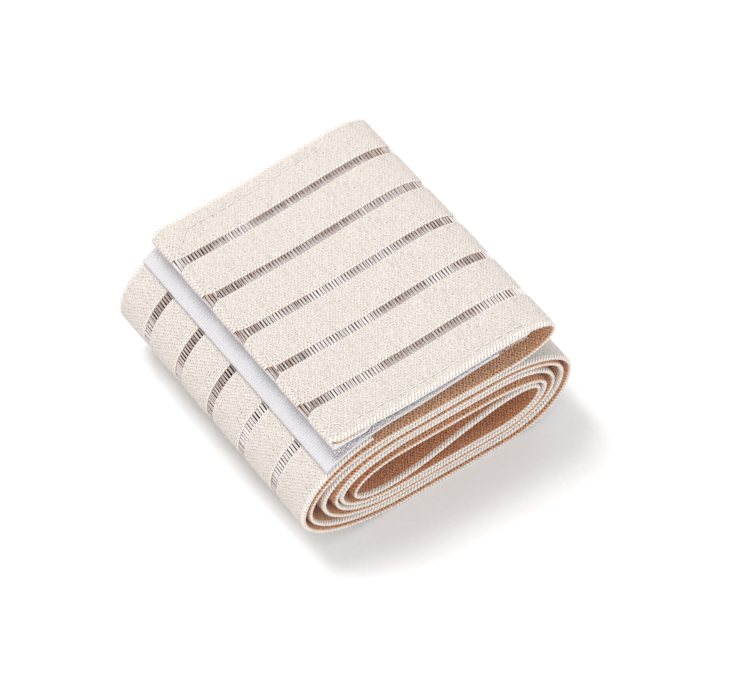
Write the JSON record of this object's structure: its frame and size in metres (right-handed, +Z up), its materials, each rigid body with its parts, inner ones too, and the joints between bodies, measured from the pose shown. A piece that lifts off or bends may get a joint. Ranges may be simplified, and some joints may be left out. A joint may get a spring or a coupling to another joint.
{
  "type": "bandage wrap",
  "caption": "Wide elastic bandage with open stripes along it, rolled flat and closed by a hook-and-loop flap.",
  "frame": {"origin": "middle of the roll's footprint on the surface it lies on", "axes": "+X along the flat oval section towards the flap's fold, +Y along the roll's axis (the bandage's width), +Z up"},
  "size_m": [0.0806, 0.08, 0.0413],
  "materials": {
    "cream_knit": "matte ribbed knit",
    "clear_thread": "translucent thread",
    "hook_tape": "satin woven tape",
    "loop_tape": "matte napped tape"
  },
  "bodies": {
    "root": {"elastic_band_1": "cream_knit", "elastic_band_2": "cream_knit", "elastic_band_3": "cream_knit", "elastic_band_4": "cream_knit", "elastic_band_5": "cream_knit", "elastic_band_6": "cream_knit", "openwork_1": "clear_thread", "openwork_2": "clear_thread", "openwork_3": "clear_thread", "openwork_4": "clear_thread", "openwork_5": "clear_thread", "hook_tape": "hook_tape", "loop_tape": "loop_tape"}
  },
  "joints": []
}
